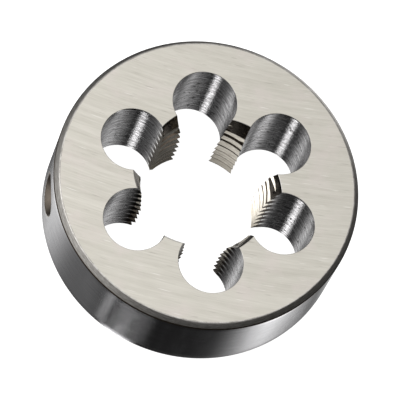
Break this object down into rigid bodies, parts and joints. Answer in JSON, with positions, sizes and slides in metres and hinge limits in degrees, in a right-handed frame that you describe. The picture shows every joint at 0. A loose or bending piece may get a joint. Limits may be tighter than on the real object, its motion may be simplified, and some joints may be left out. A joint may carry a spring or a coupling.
{
  "type": "round threading die",
  "caption": "Solid round die for cutting an external screw thread: a steel disc with a threaded bore opened by clearance holes that leave cutting lands.",
  "frame": {"origin": "on the thread's axis, in the plane of the back face that the die rests on", "axes": "+Z along the thread's axis, from the back face to the entry face; +X through the middle of one clearance hole"},
  "size_m": [0.05, 0.05, 0.016],
  "materials": {
    "die_steel": "ground faces, turned rim"
  },
  "bodies": {
    "root": {"threading_die": "die_steel"}
  },
  "joints": []
}
